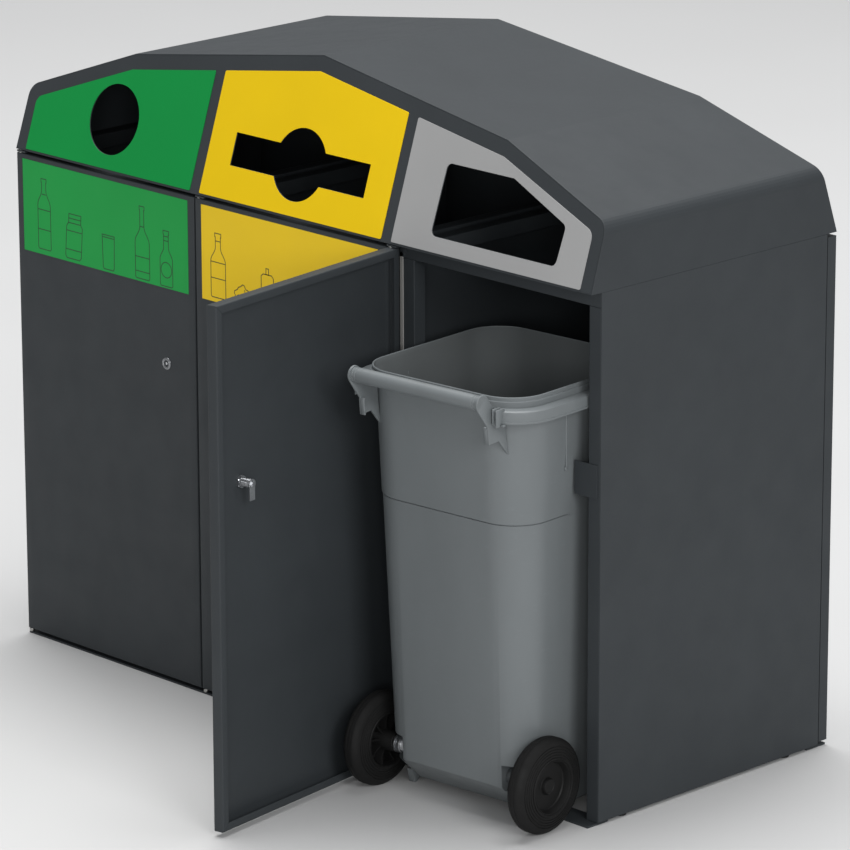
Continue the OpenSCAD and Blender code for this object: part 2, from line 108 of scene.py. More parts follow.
def make_stage():
    """The floor, a dim sky, a strong light from above and softer ones in front."""
    scene = bpy.context.scene
    scene.view_settings.view_transform = "Standard"
    world = bpy.data.worlds.new("studio")
    world.use_nodes = True
    world.node_tree.nodes["Background"].inputs["Color"].default_value = (0.97, 0.985, 1, 1)
    world.node_tree.nodes["Background"].inputs["Strength"].default_value = 0.34
    scene.world = world
    bm = bmesh.new()
    bmesh.ops.create_grid(bm, x_segments=1, y_segments=1, size=FLOOR_HALF)
    floor = finish_mesh("floor", bm, floor_material())
    area_light("top", (-1.5, 1.5, 12.0), (0, 0, 0.5), (9.0, 9.0), 1750)
    area_light("key", (9.0, -3.2, 4.6), (0.3, -0.2, 0.6), (4.0, 4.0), 365)
    area_light("fill", (1.6, -10.0, 2.6), (0.1, -0.3, 0.7), (4.0, 3.0), 40)
    area_light("front", (9.4, -9.2, 3.8), (0.4, -0.4, 0.6), (3.0, 3.0), 275)


# ---- mesh helpers ---------------------------------------------------------------------------

def finish_mesh(name, bm, material, sharp=35):
    """Turns bm into a smooth-shaded object, with edges over sharp degrees left sharp."""
    bmesh.ops.remove_doubles(bm, verts=bm.verts, dist=1e-6)
    bmesh.ops.recalc_face_normals(bm, faces=bm.faces)
    mesh = bpy.data.meshes.new(name)
    bm.to_mesh(mesh)
    bm.free()
    mesh.shade_smooth()
    mesh.set_sharp_from_angle(angle=math.radians(sharp))
    mesh.materials.append(material)
    obj = bpy.data.objects.new(name, mesh)
    bpy.context.scene.collection.objects.link(obj)
    return obj


def copy_of(obj, name, matrix):
    """Another object with the same mesh, at matrix."""
    twin = bpy.data.objects.new(name, obj.data)
    bpy.context.scene.collection.objects.link(twin)
    twin.matrix_world = matrix
    return twin


def skin(bm, rings, closed=True, caps=(False, False)):
    """Joins rings of equally many points with quads."""
    loops = [[bm.verts.new(point) for point in ring] for ring in rings]
    count = len(loops[0])
    for low, high in zip(loops, loops[1:]):
        for i in range(count if closed else count - 1):
            j = (i + 1) % count
            bm.faces.new((low[i], low[j], high[j], high[i]))
    if caps[0]:
        bm.faces.new(reversed(loops[0]))
    if caps[1]:
        bm.faces.new(loops[-1])


def lathe(bm, profile, steps=64, centre=(0, 0, 0)):
    """Turns a closed profile of (radius, x) points, in millimetres, about the X axis."""
    centre = Vector(centre)
    rings = []
    for k in range(steps):
        turn = Matrix.Rotation(2 * math.pi * k / steps, 3, "X")
        rings.append([(centre + turn @ Vector((x, 0, radius))) * MM for radius, x in profile])
    skin(bm, rings + rings[:1])


def slab(bm, low, high):
    """A box between two corners, in millimetres."""
    low, high = Vector(low), Vector(high)
    made = bmesh.ops.create_cube(bm, size=1)
    for vert in made["verts"]:
        for axis in range(3):
            middle, size = (low[axis] + high[axis]) / 2, high[axis] - low[axis]
            vert.co[axis] = (middle + vert.co[axis] * size) * MM


def plate(bm, outline, x0, x1):
    """A plate in the Y-Z plane, from x0 to x1, in millimetres."""
    sides = [[Vector((x, y, z)) * MM for y, z in outline] for x in (x0, x1)]
    skin(bm, sides, caps=(True, True))


def arc(centre, radius, start, end, count):
    """Points on an arc, angles in degrees."""
    angles = [math.radians(start + (end - start) * i / count) for i in range(count + 1)]
    return [(centre[0] + radius * math.cos(a), centre[1] + radius * math.sin(a)) for a in angles]


def bevel(obj, width):
    """Rounds every edge over 30 degrees by width, in millimetres."""
    modifier = obj.modifiers.new("bevel", "BEVEL")
    modifier.width = width * MM
    modifier.segments = 2
    modifier.limit_method = "ANGLE"
    modifier.angle_limit = math.radians(30)
    modifier.harden_normals = True


# ---- materials ------------------------------------------------------------------------------

class Shader:
    """A material with one principled shader and short calls for the nodes around it."""

    def __init__(self, name, **values):
        self.material = bpy.data.materials.new(name)
        self.material.use_nodes = True
        self.tree = self.material.node_tree
        self.main = self.tree.nodes["Principled BSDF"]
        for socket, value in values.items():
            self.main.inputs[socket.replace("_", " ")].default_value = value
        self.place = self.node("ShaderNodeTexCoord").outputs["Object"]

    def node(self, kind, links=None, **values):
        """A new node: values set its own settings or its sockets, and links feed its sockets."""
        node = self.tree.nodes.new(kind)
        for key, value in values.items():
            if hasattr(node, key):
                setattr(node, key, value)
            else:
                node.inputs[key.replace("_", " ")].default_value = value
        for socket, source in (links or {}).items():
            self.tree.links.new(source, node.inputs[socket])
        return node

    def noise(self, scale, detail=2, rough=0.5, stretch=None):
        """Noise in the object's own space, stretched by a factor along each axis."""
        place = self.place
        if stretch:
            mapping = self.node("ShaderNodeMapping", {"Vector": place}, Scale=stretch)
            place = mapping.outputs["Vector"]
        values = {"Scale": scale, "Detail": detail, "Roughness": rough}
        return self.node("ShaderNodeTexNoise", {"Vector": place}, **values).outputs["Fac"]

    def spread(self, source, low, high, start=0.3, end=0.7):
        """Maps source from start..end to low..high."""
        node = self.node("ShaderNodeMapRange", {"Value": source}, From_Min=start, From_Max=end)
        node.inputs["To Min"].default_value = low
        node.inputs["To Max"].default_value = high
        return node.outputs["Result"]

    def blend(self, factor, first, second):
        """Mixes two colours, each a tuple or another node's output."""
        node = self.node("ShaderNodeMix", data_type="RGBA")
        self.tree.links.new(factor, node.inputs[0])
        for socket, value in ((6, first), (7, second)):
            if isinstance(value, tuple):
                node.inputs[socket].default_value = (*value, 1)
            else:
                self.tree.links.new(value, node.inputs[socket])
        return node.outputs[2]

    def bump(self, height, distance, strength, below=None):
        """A surface relief, on top of the one below."""
        links = {"Height": height}
        if below:
            links["Normal"] = below
        return self.node("ShaderNodeBump", links, Strength=strength, Distance=distance).outputs["Normal"]

    def connect(self, **sources):
        """Feeds the shader's sockets and gives back the material."""
        for socket, source in sources.items():
            self.tree.links.new(source, self.main.inputs[socket.replace("_", " ")])
        return self.material


def srgb(*values):
    """Linear colour from 0-255 display values."""
    shares = [v / 255 for v in values]
    return tuple(v / 12.92 if v < 0.0405 else ((v + 0.055) / 1.055) ** 2.4 for v in shares)


def tint(colour, factor):
    """The colour made lighter or darker by a factor."""
    return tuple(min(1, c * factor) for c in colour)


def floor_material():
    """Matt light grey, very slightly clouded."""
    shader = Shader("floor", Roughness=0.9)
    shade = shader.spread(shader.noise(0.6), 0, 1)
    return shader.connect(Base_Color=shader.blend(shade, (0.56, 0.56, 0.56), (0.58, 0.58, 0.58)))


def powder_coat(name, colour):
    """Baked powder paint: a fine pimpled skin, with faint clouds in its colour and gloss."""
    shader = Shader(name, Roughness=0.55, Specular_IOR_Level=0.28)
    clouds = shader.spread(shader.noise(5, 3), 0, 1)
    specks = shader.spread(shader.noise(900, 1), 0, 1, 0.62, 0.75)
    paint = shader.blend(clouds, tint(colour, 0.95), tint(colour, 1.05))
    paint = shader.blend(specks, paint, tint(colour, 1.3))
    pimples = shader.bump(shader.noise(750, 2, 0.6), 0.00012, 0.8)
    waves = shader.bump(shader.noise(160, 2), 0.0002, 0.3, pimples)
    gloss = shader.spread(shader.noise(14, 3), 0.5, 0.62)
    return shader.connect(Base_Color=paint, Roughness=gloss, Normal=waves)


def satin_paint(name, colour, rough=0.42):
    """Smooth coloured coat with a slight orange peel."""
    shader = Shader(name, Roughness=rough, Specular_IOR_Level=0.2)
    clouds = shader.spread(shader.noise(4, 3), 0, 1)
    paint = shader.blend(clouds, tint(colour, 0.97), tint(colour, 1.03))
    peel = shader.bump(shader.noise(220, 2), 0.00015, 0.3)
    gloss = shader.spread(shader.noise(11, 3), rough - 0.05, rough + 0.06)
    return shader.connect(Base_Color=paint, Roughness=gloss, Normal=peel)


def moulded_plastic(name, colour, rough=0.45, gleam=0.4):
    """Polyethylene: a fine spark-eroded grain, flow clouds and a few rubbed patches."""
    shader = Shader(name, Roughness=rough, Specular_IOR_Level=gleam)
    flow = shader.spread(shader.noise(7, 3, 0.55, (1, 1, 0.35)), 0, 1)
    shade = shader.blend(flow, tint(colour, 0.95), tint(colour, 1.05))
    rubs = shader.spread(shader.noise(38, 4, 0.6, (1, 1, 2.5)), 0, 0.5, 0.6, 0.8)
    shade = shader.blend(rubs, shade, tint(colour, 1.12))
    grain = shader.bump(shader.noise(1300, 2, 0.6), 0.00008, 0.7)
    waves = shader.bump(shader.noise(26, 2), 0.0006, 0.25, grain)
    gloss = shader.spread(shader.noise(20, 3), rough - 0.06, rough + 0.08)
    return shader.connect(Base_Color=shade, Roughness=gloss, Normal=waves)


def rubber(name, colour):
    """Black rubber, dusty in places."""
    shader = Shader(name, Roughness=0.7, Specular_IOR_Level=0.25)
    dust = shader.spread(shader.noise(30, 4, 0.6), 0, 0.5, 0.5, 0.8)
    shade = shader.blend(dust, colour, tint(colour, 1.6))
    grain = shader.bump(shader.noise(900, 2), 0.0001, 0.8)
    gloss = shader.spread(shader.noise(24, 3), 0.6, 0.8)
    return shader.connect(Base_Color=shade, Roughness=gloss, Normal=grain)


def metal(name, colour, rough):
    """Plated or brushed steel, with fine scratches along one direction."""
    shader = Shader(name, Metallic=1.0)
    strokes = shader.noise(260, 3, 0.6, (1, 1, 30))
    clouds = shader.spread(shader.noise(60, 3), 0, 1)
    shade = shader.blend(clouds, tint(colour, 0.88), tint(colour, 1.05))
    gloss = shader.spread(strokes, rough - 0.06, rough + 0.1)
    lines = shader.bump(strokes, 0.00004, 0.5)
    return shader.connect(Base_Color=shade, Roughness=gloss, Normal=lines)


def printed_ink(name, colour):
    """Flat ink, a little uneven."""
    shader = Shader(name, Roughness=0.5)
    shade = shader.spread(shader.noise(90, 3), 0, 1)
    return shader.connect(Base_Color=shader.blend(shade, tint(colour, 0.85), tint(colour, 1.15)))


MATERIALS = {
    "powder_coat": powder_coat("powder_coat", srgb(52, 56, 59)),
    "green_paint": satin_paint("green_paint", srgb(8, 140, 63)),
    "yellow_paint": satin_paint("yellow_paint", srgb(233, 195, 8)),
    "grey_paint": satin_paint("grey_paint", srgb(158, 158, 158)),
    # Light grey paint for the strips on the hinge posts: a painted highlight along the posts' edges.
    "edge_highlight_paint": satin_paint("edge_highlight_paint", srgb(158, 157, 154)),
    "green_film": satin_paint("green_film", srgb(28, 155, 70), 0.5),
    "yellow_film": satin_paint("yellow_film", srgb(241, 203, 32), 0.5),
    "grey_film": satin_paint("grey_film", srgb(175, 175, 175), 0.5),
    "bin_plastic": moulded_plastic("bin_plastic", srgb(111, 116, 118)),
    # A darker, rougher copy of the bin's plastic for the tub's inner faces: the darker colour is painted
    # shade.
    "bin_inner_shade": moulded_plastic("bin_inner_shade", srgb(98, 102, 103), 0.8, 0.15),
    "tyre_rubber": rubber("tyre_rubber", srgb(19, 19, 19)),
    "black_plastic": moulded_plastic("black_plastic", srgb(19, 19, 19), 0.6, 0.25),
    "stainless": metal("stainless", srgb(190, 190, 186), 0.32),
    "zinc": metal("zinc", srgb(205, 207, 210), 0.3),
    "chrome": metal("chrome", srgb(150, 152, 155), 0.28),
}
INKS = {
    "left": printed_ink("green_ink", srgb(12, 70, 32)),
    "middle": printed_ink("brown_ink", srgb(78, 66, 16)),
    "right": printed_ink("grey_ink", srgb(52, 52, 52)),
}


EDGE_RADIUS = 0.4
NODE_RADIUS = {
    "roof_skin": 1.2, "hood_front": 0.8, "side_panel_left": 0.8, "side_panel_right": 0.8,
    "frame_posts": 1.6, "top_cross_rails": 1.6, "bottom_side_rails": 1.6, "top_side_rails": 1.6,
}


def dress_cad_nodes():
    """Gives every carried-over node its slot's material and a small edge radius."""
    for part in RECORD["subparts"]:
        node = NODES[part["node"]]
        node.data.materials.clear()
        node.data.materials.append(MATERIALS[part["material_slot"]])
        weld = node.modifiers.new("weld", "WELD")
        weld.merge_threshold = 0.00001
        bevel(node, NODE_RADIUS.get(part["node"], EDGE_RADIUS))
        if part["node"].startswith("aperture_panel"):
            node.modifiers.new("even_shading", "WEIGHTED_NORMAL").weight = 100


def add_piece(obj, body, replaced=None):
    """Puts obj on a body, in place of a CAD node if one is named."""
    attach(obj, body)
    if replaced:
        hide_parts(replaced)


# ---- doors ----------------------------------------------------------------------------------

SHEET = 2.0
BEND = 3.0
LIP = 17.0
HEM = 24.0
MITRE_GAP = 0.35
# Size and place of the light strips that paint a highlight on the hinge posts' edges.
STRIP_FROM_PIVOT = 5.6
STRIP_W = 8.7
STRIP_OUT = 2.0
STRIP_FOOT = 30.0
STRIP_HEAD = 12.0


def door_matrix(bay):
    """The frame in which a door is drawn closed, with its pivot at the origin."""
    pivot = Vector(JOINTS[f"door_{bay}_hinge"]["pos_m"])
    normal = JOINTS[f"lock_{bay}_turn"]["axis"]
    angle = math.atan2(normal[0], -normal[1])
    return Matrix.Translation((pivot.x, pivot.y, 0)) @ Matrix.Rotation(angle, 4, "Z")


def folded_edge(depth):
    """Section of a folded edge: (distance from the edge, distance from the face)."""
    outside = arc((BEND, BEND), BEND, 270, 180, 4) + arc((BEND, depth - BEND), BEND, 180, 90, 4)
    inner = BEND - SHEET
    inside = arc((BEND, depth - BEND), inner, 90, 180, 3) + arc((BEND, BEND), inner, 180, 270, 3)
    return [(HEM, 0), *outside, (LIP, depth), (LIP, depth - SHEET), *inside, (HEM, SHEET)]


def door_mesh(width, height, depth):
    """A pan folded from one sheet: its lips meet in open mitres at the corners."""
    bm = bmesh.new()
    corners = ((0, 0), (width, 0), (width, height), (0, height))
    for side, corner in enumerate(corners):
        length = height if side % 2 else width
        rotation = Matrix.Rotation(math.radians(90 * side), 2)
        ends = []
        for far in (False, True):
            ring = []
            for inward, deep in folded_edge(depth):
                mitre = inward + (MITRE_GAP if deep > depth / 2 else 0)
                along = length - mitre if far else mitre
                flat = rotation @ Vector((along, inward)) + Vector(corner)
                ring.append(Vector((flat.x, deep, flat.y)) * MM)
            ends.append(ring)
        skin(bm, ends, caps=(True, True))
    slab(bm, (HEM, 0, HEM), (width - HEM, SHEET, height - HEM))
    return bm


def from_pivot(low):
    """Shifts a point of the left bay's closed door into the frame of door_matrix."""
    pivot = Vector(JOINTS["door_left_hinge"]["pos_m"])
    return Matrix.Translation((low.x - pivot.x, low.y - pivot.y, low.z))


def make_doors():
    """Three doors from one mesh, sized by the left one, which is drawn square to the axes."""
    low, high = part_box("door_left")
    size = (high - low) / MM
    pan = finish_mesh("door_pan", door_mesh(size.x, size.z, size.y), MATERIALS["powder_coat"], 25)
    for bay in BAYS:
        door = copy_of(pan, f"door_pan_{bay}", door_matrix(bay) @ from_pivot(low))
        add_piece(door, f"door_{bay}", f"door_{bay}")
    bpy.data.objects.remove(pan)


def make_highlight_strips():
    """A thin light grey strip on the hinge-side post of the two inner bays, in the gap beside the door: a
    painted highlight along the post's edge.
    """
    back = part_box("frame_posts")[0].y / MM
    low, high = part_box("door_left")
    foot, head = low.z / MM + STRIP_FOOT, high.z / MM - STRIP_HEAD
    for bay in BAYS[1:]:
        left = JOINTS[f"door_{bay}_hinge"]["pos_m"][0] / MM + STRIP_FROM_PIVOT
        bm = bmesh.new()
        slab(bm, (left, back - STRIP_OUT, foot), (left + STRIP_W, back, head))
        strip = finish_mesh(f"highlight_strip_{bay}", bm, MATERIALS["edge_highlight_paint"])
        bevel(strip, 0.3)
        add_piece(strip, "housing")


def lock_matrix(bay):
    """The frame in which a lock is drawn: +X points straight out of the door's face."""
    joint = JOINTS[f"lock_{bay}_turn"]
    out, up = Vector(joint["axis"]), Vector((0, 0, 1))
    turn = Matrix((out, up.cross(out), up)).transposed().to_4x4()
    return Matrix.Translation(joint["pos_m"]) @ turn


def lock_mesh():
    """The lock's ringed face, and its barrel with a fine thread behind the door's sheet."""
    bm = bmesh.new()
    face = [
        (7.2, 0.4), (7.6, 1.5), (8.6, 1.9), (9.4, 1.1), (10.2, 1.1), (11, 1.9), (12.4, 1.8), (13.3, 1),
        (13.5, 0), (9.5, 0), (9.5, -8.5),
    ]
    thread = []
    for turn in range(13):
        crest = -9.5 - 1.5 * turn
        thread += [(8.9, crest), (9.45, crest - 0.5), (9.45, crest - 0.8)]
    lathe(bm, face + thread + [(8.9, -29.5), (8.4, -30), (7.2, -30)], 48)
    return bm


def nut_mesh():
    """A hexagonal nut with turned-down corners, against the inside of the sheet."""
    bm = bmesh.new()
    rings = []
    for radius, x in ((9.55, -2), (12.6, -2), (14, -2.8), (14, -7.2), (12.6, -8), (9.55, -8)):
        ring = []
        for k in range(48):
            angle = 2 * math.pi * k / 48
            flat = 12.1 / math.cos((angle % (math.pi / 3)) - math.pi / 6)
            reach = min(radius, flat) if radius > 10 else radius
            ring.append(Vector((x, reach * math.sin(angle), reach * math.cos(angle))) * MM)
        rings.append(ring)
    skin(bm, rings + rings[:1])
    return bm


def make_locks():
    """A lock face with its barrel, and a nut, on each door."""
    face = finish_mesh("lock_face", lock_mesh(), MATERIALS["chrome"], 40)
    nut = finish_mesh("nut", nut_mesh(), MATERIALS["zinc"], 25)
    for bay in BAYS:
        body, place = f"door_{bay}", lock_matrix(bay)
        add_piece(copy_of(face, f"lock_face_{bay}", place), body, f"lock_housing_{bay}")
        add_piece(copy_of(nut, f"lock_hex_{bay}", place), body, f"lock_nut_{bay}")
    for part in (face, nut):
        bpy.data.objects.remove(part)


# ---- pictograms on the door labels ----------------------------------------------------------

LINE_W = 2.1
LINE_T = 0.12


def stroke(bm, points, closed=True):
    """A raised line of even width along flat points (x, z), in millimetres, standing out to -Y."""
    points = [Vector(p) for p in points]
    count = len(points)
    left, right = [], []
    for i, point in enumerate(points):
        before = points[i - 1] if closed or i else point
        after = points[(i + 1) % count] if closed or i < count - 1 else point
        into = (point - before).normalized() if point != before else (after - point).normalized()
        out = (after - point).normalized() if after != point else into
        normal = Vector((-(into + out).y, (into + out).x)).normalized()
        stretch = LINE_W / 2 / max(0.5, normal.dot(Vector((-into.y, into.x))))
        left.append(point + normal * stretch)
        right.append(point - normal * stretch)
    edges = [(left, 0), (left, -LINE_T), (right, -LINE_T), (right, 0)]
    rings = [[Vector((side[i].x, y, side[i].y)) * MM for side, y in edges] for i in range(count)]
    skin(bm, rings + rings[:1] if closed else rings, caps=(not closed, not closed))


def cross_line(bm, x, z, reach):
    """A level line of reach to either side of x."""
    stroke(bm, [(x - reach, z), (x + reach, z)], closed=False)


def mirrored(half):
    """A closed outline from its right half, listed from the bottom up."""
    return half + [(-x, z) for x, z in reversed(half)]


def outlined(bm, x, z, half):
    """Draws a mirrored outline with its foot at (x, z)."""
    stroke(bm, [(x + a, z + b) for a, b in mirrored(half)])


def bottle(bm, x, z, width, height, neck, shoulder, bands):
    """A bottle outline, with cross lines at the given shares of its height."""
    half, throat, mouth = width / 2, neck / 2, height - 8
    curve = [
        (half + (throat - half) * (1 - math.cos(math.pi * t / 6)) / 2, height * (shoulder + 0.22 * t / 6))
        for t in range(7)
    ]
    lip = [(throat, mouth), (throat + 1.5, mouth), (throat + 1.5, height)]
    outlined(bm, x, z, [(half - 3, 0), (half, 3), *curve, *lip])
    for band in bands:
        cross_line(bm, x, z + band * height, half if band < shoulder else throat)


def jar(bm, x, z, width, height):
    """A jar with a screwed lid, leaning a little."""
    lean, half, lid = 0.08, width / 2, width / 2 - 6
    body = [(half - 5, 0), (half, 6), (half, height * 0.72), (lid, height * 0.8), (lid, height)]
    stroke(bm, [(x + a + b * lean, z + b) for a, b in mirrored(body)])
    for share, reach in ((0.8, lid), (0.9, lid), (0.62, half), (0.2, half)):
        cross_line(bm, x + height * share * lean, z + height * share, reach)


def tumbler(bm, x, z, width, height):
    """A plain cup with a line under its edge."""
    half = width / 2
    outlined(bm, x, z, [(half - 5, 0), (half - 2, 4), (half, height)])
    cross_line(bm, x, z + height * 0.93, half - 1)


def flask(bm, x, z, width, height):
    """A squat container with a narrow cap."""
    half, top = width / 2, height * 0.86
    outlined(bm, x, z, [(half, 0), (half, height * 0.8), (half - 6, top)])
    outlined(bm, x, z, [(4, top), (4, height)])


def crumple(bm, x, z, radius):
    """A ball of paper: a wavy outline with a few creases."""
    outline = []
    for i in range(36):
        angle = 2 * math.pi * i / 36
        wave = radius * (1 + 0.09 * math.sin(5 * angle) + 0.06 * math.sin(9 * angle + 1))
        outline.append((x + wave * math.cos(angle), z + wave * math.sin(angle)))
    stroke(bm, outline)
    for start in (0.4, 2.3, 4.1):
        crease = []
        for share in (0.15, 0.35, 0.55, 0.75):
            angle = start + 1.1 * share
            crease.append((x + radius * share * math.cos(angle), z + radius * share * math.sin(angle)))
        stroke(bm, crease, closed=False)


def sack(bm, x, z, width, height):
    """A tied bag."""
    half = width / 2
    outlined(bm, x, z, [
        (half * 0.6, 0), (half * 0.95, height * 0.12), (half, height * 0.4),
        (half * 0.75, height * 0.68), (half * 0.2, height * 0.8), (half * 0.42, height),
    ])
    cross_line(bm, x, z + height * 0.8, half * 0.25)


def draw_left(bm):
    """Glass: bottles, a jar and a cup."""
    bottle(bm, 70, 12, 42, 158, 14, 0.62, (0.28, 0.56, 0.78))
    jar(bm, 165, 8, 52, 100)
    tumbler(bm, 282, 6, 40, 76)
    bottle(bm, 393, 6, 46, 160, 13, 0.5, (0.10, 0.30, 0.72))
    bottle(bm, 470, 4, 40, 122, 15, 0.48, (0.9, 0.82))
    stroke(bm, arc((470, 40), 17, 0, 345, 23))


def draw_middle(bm):
    """Packaging: plastic bottles, paper, a flask and a cup."""
    bottle(bm, 52, 10, 46, 140, 16, 0.56, (0.30, 0.55, 0.88))
    crumple(bm, 128, 26, 24)
    flask(bm, 205, 10, 38, 92)
    tumbler(bm, 380, 10, 44, 84)
    bottle(bm, 470, 10, 40, 124, 26, 0.6, (0.12, 0.5))


def draw_right(bm):
    """Other waste: tied bags and paper."""
    sack(bm, 120, 14, 96, 120)
    crumple(bm, 270, 50, 34)
    sack(bm, 420, 14, 96, 120)


def make_pictograms():
    """Generic line drawings of what goes in, drawn from each label's lower left corner."""
    place = from_pivot(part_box("door_label_left")[0])
    for bay, draw in zip(BAYS, (draw_left, draw_middle, draw_right)):
        bm = bmesh.new()
        draw(bm)
        drawing = finish_mesh(f"pictograms_{bay}", bm, INKS[bay])
        drawing.matrix_world = door_matrix(bay) @ place
        add_piece(drawing, f"door_{bay}")


# ---- bins -----------------------------------------------------------------------------------

WHEEL_A, WHEEL_B = [Vector(JOINTS[f"wheel_left_{side}_spin"]["pos_m"]) / MM for side in "ab"]
AXLE_Z = WHEEL_A.z
HALF_TRACK = (WHEEL_B.x - WHEEL_A.x) / 2
RIM_Z = 914.0
STEP_Z = RIM_Z - 271
COLLAR_Z = RIM_Z - 46
BRACKET_X = 167.0
HANDLE_Y = -131.0
HANDLE_R = 15.5
RECESS_X = 132.0
RECESS_HALF = 29.0
FOOT_X = 175.0
LONG_SIDE = 60.0
SIDE_PARTS = 24


def bin_matrix(bay):
    """The frame in which a bin is drawn: the axle's middle above the origin, +X along the axle."""
    ends = [Vector(JOINTS[f"wheel_{bay}_{side}_spin"]["pos_m"]) for side in "ab"]
    middle, along = (ends[0] + ends[1]) / 2, ends[1] - ends[0]
    heading = math.atan2(along.y, along.x)
    return Matrix.Translation((middle.x, middle.y, 0)) @ Matrix.Rotation(heading, 4, "Z")


def section(half, y0, y1, radius, z, gap=None):
    """A rounded rectangle at height z. With gap it is open in front, between x = gap and -gap."""
    points = []
    corners = (
        (half - radius, y0 + radius, -90), (half - radius, y1 - radius, 0),
        (radius - half, y1 - radius, 90), (radius - half, y0 + radius, 180),
    )
    for cx, cy, start in corners:
        points += arc((cx, cy), radius, start, start + 90, 12)
    if gap is not None:
        reach = gap - half + radius
        y_gap = y0 + radius - math.sqrt(radius * radius - reach * reach)
        points = [p for p in points if abs(p[0]) > gap or p[1] > y0 + radius]
        points = [(gap, y_gap)] + points + [(-gap, y_gap)]
    pairs = list(zip(points, points[1:]))
    if gap is None:
        pairs.append((points[-1], points[0]))
    filled = []
    for here, there in pairs:
        filled.append(here)
        if math.dist(here, there) > LONG_SIDE:
            step = ((there[0] - here[0]) / SIDE_PARTS, (there[1] - here[1]) / SIDE_PARTS)
            filled += [(here[0] + step[0] * k, here[1] + step[1] * k) for k in range(1, SIDE_PARTS)]
    if gap is not None:
        filled.append(points[-1])
    return [Vector((x, y, z)) * MM for x, y in filled]


def seam_ring(z, out):
    """A ring of the fine groove round the body: it stands out by out, and fades on each side."""
    ring = []
    wall = section(202, -58, 340, 82, z)
    moved = section(202 + out, -58 - out, 340 + out, 82 + out, z)
    for inner, outer in zip(wall, moved):
        y = inner.y / MM
        share = min(1, max(0, (104 - y) / 12))
        sink = 5 * min(1, max(0, (y - 82) / 20)) ** 2
        ring.append(inner.lerp(outer, share) - Vector((0, 0, sink * MM)))
    return ring


def rim_rings():
    """The rim's lower ledge and upper lip, from outside to inside."""
    slices = [
        (212, -72, 354, 90, -25), (216, -82, 360, 86, -23), (216, -82, 360, 86, -9),
        (215.2, -81.2, 359.2, 85.2, -8), (212.4, -78.4, 356.4, 82.4, -8),
        (211.8, -77.8, 355.8, 81.8, -7.2), (211.8, -77.8, 355.8, 81.8, -1.2),
        (210.8, -76.8, 354.8, 80.8, 0), (208.8, -74.8, 352.8, 78.8, 0),
        (208, -74, 352, 78, -1.2), (208, -74, 352, 78, -12), (206.5, -67, 350, 84, -20),
    ]
    return [section(*outline, RIM_Z + height) for *outline, height in slices]


def shell_mesh():
    """The tub as one closed skin, from its underside over its rim and down inside."""
    bm = bmesh.new()
    foot = [
        (177, 45, 315, 37, 18), (180, 42, 318, 40, 21),
        (185.8, -24, 322.6, 65, 76), (186, -28, 323, 66, 81),
    ]
    groove = [(0, 0), (0.6, -2.2), (2.4, -2.2), (3.2, 2)]
    inside = [
        (183, -25, 320, 63, 150), (178, -20, 315, 58, 142), (178, 64, 315, 38, 141),
        (175, 65, 313, 35, 30), (168, 72, 306, 28, 24),
    ]
    rings = [section(*outline) for outline in foot]
    rings += [seam_ring(STEP_Z + height, out) for height, out in groove]
    rings += rim_rings()
    rings += [section(*outline) for outline in inside]
    skin(bm, rings, caps=(True, True))
    return bm


def paint_inner_shade(shell):
    """Gives the tub's inner faces, below the rim's lip, a darker and duller copy of the plastic: its
    darker colour is painted shade.
    """
    shell.data.materials.append(MATERIALS["bin_inner_shade"])
    middle_y, lip = 140, 3
    for face in shell.data.polygons:
        x, y, z = face.center / MM
        inward = Vector((x, y - middle_y, 0)).dot(face.normal) < 0
        face.material_index = 1 if inward and z < RIM_Z - lip else 0


def collar_mesh():
    """Flange and skirt, wrapped round the sides and back from one handle bracket to the other."""
    bm = bmesh.new()
    profile = [
        (0, 0), (0, 3.2), (1.2, 4.2), (1.2, 21), (2, 23.6), (4.5, 25.4), (7, 26), (27, 26), (27, 22),
        (8, 21.6), (5.2, 20), (5, 4), (4, 0),
    ]
    paths = [
        section(242 - d, -101 + d, 382 - d, 96 - d, COLLAR_Z + h, BRACKET_X - 1) for d, h in profile
    ]
    skin(bm, [list(ring) for ring in zip(*paths)], caps=(True, True))
    return bm


def handle_mesh():
    """The grip: a tube with two shallow rings near each end, and domed end plates."""
    bm = bmesh.new()
    end = BRACKET_X - 3
    half = [(0, end), (HANDLE_R, end)]
    for ring in (end - 6, end - 12):
        half += [(HANDLE_R, ring + 1.5), (HANDLE_R - 0.9, ring + 0.8)]
        half += [(HANDLE_R - 0.9, ring - 0.8), (HANDLE_R, ring - 1.5)]
    lathe(bm, half + [(r, -x) for r, x in reversed(half)], 48, (0, HANDLE_Y, RIM_Z))
    cap = [(0, -3), (17.6, -3), (18, -2), (18, 1.4), (17, 2.3), (13, 2.4), (0, 2.5)]
    for side in (-1, 1):
        lathe(bm, [(r, side * (BRACKET_X + x)) for r, x in cap], 48, (0, HANDLE_Y, RIM_Z))
    return bm


def side_slab(bm, side, x, y, z):
    """A box on one side of the bin, from its (near, far) pairs, with x counted outwards."""
    near, far = sorted((side * x[0], side * x[1]))
    slab(bm, (near, y[0], z[0]), (far, y[1], z[1]))


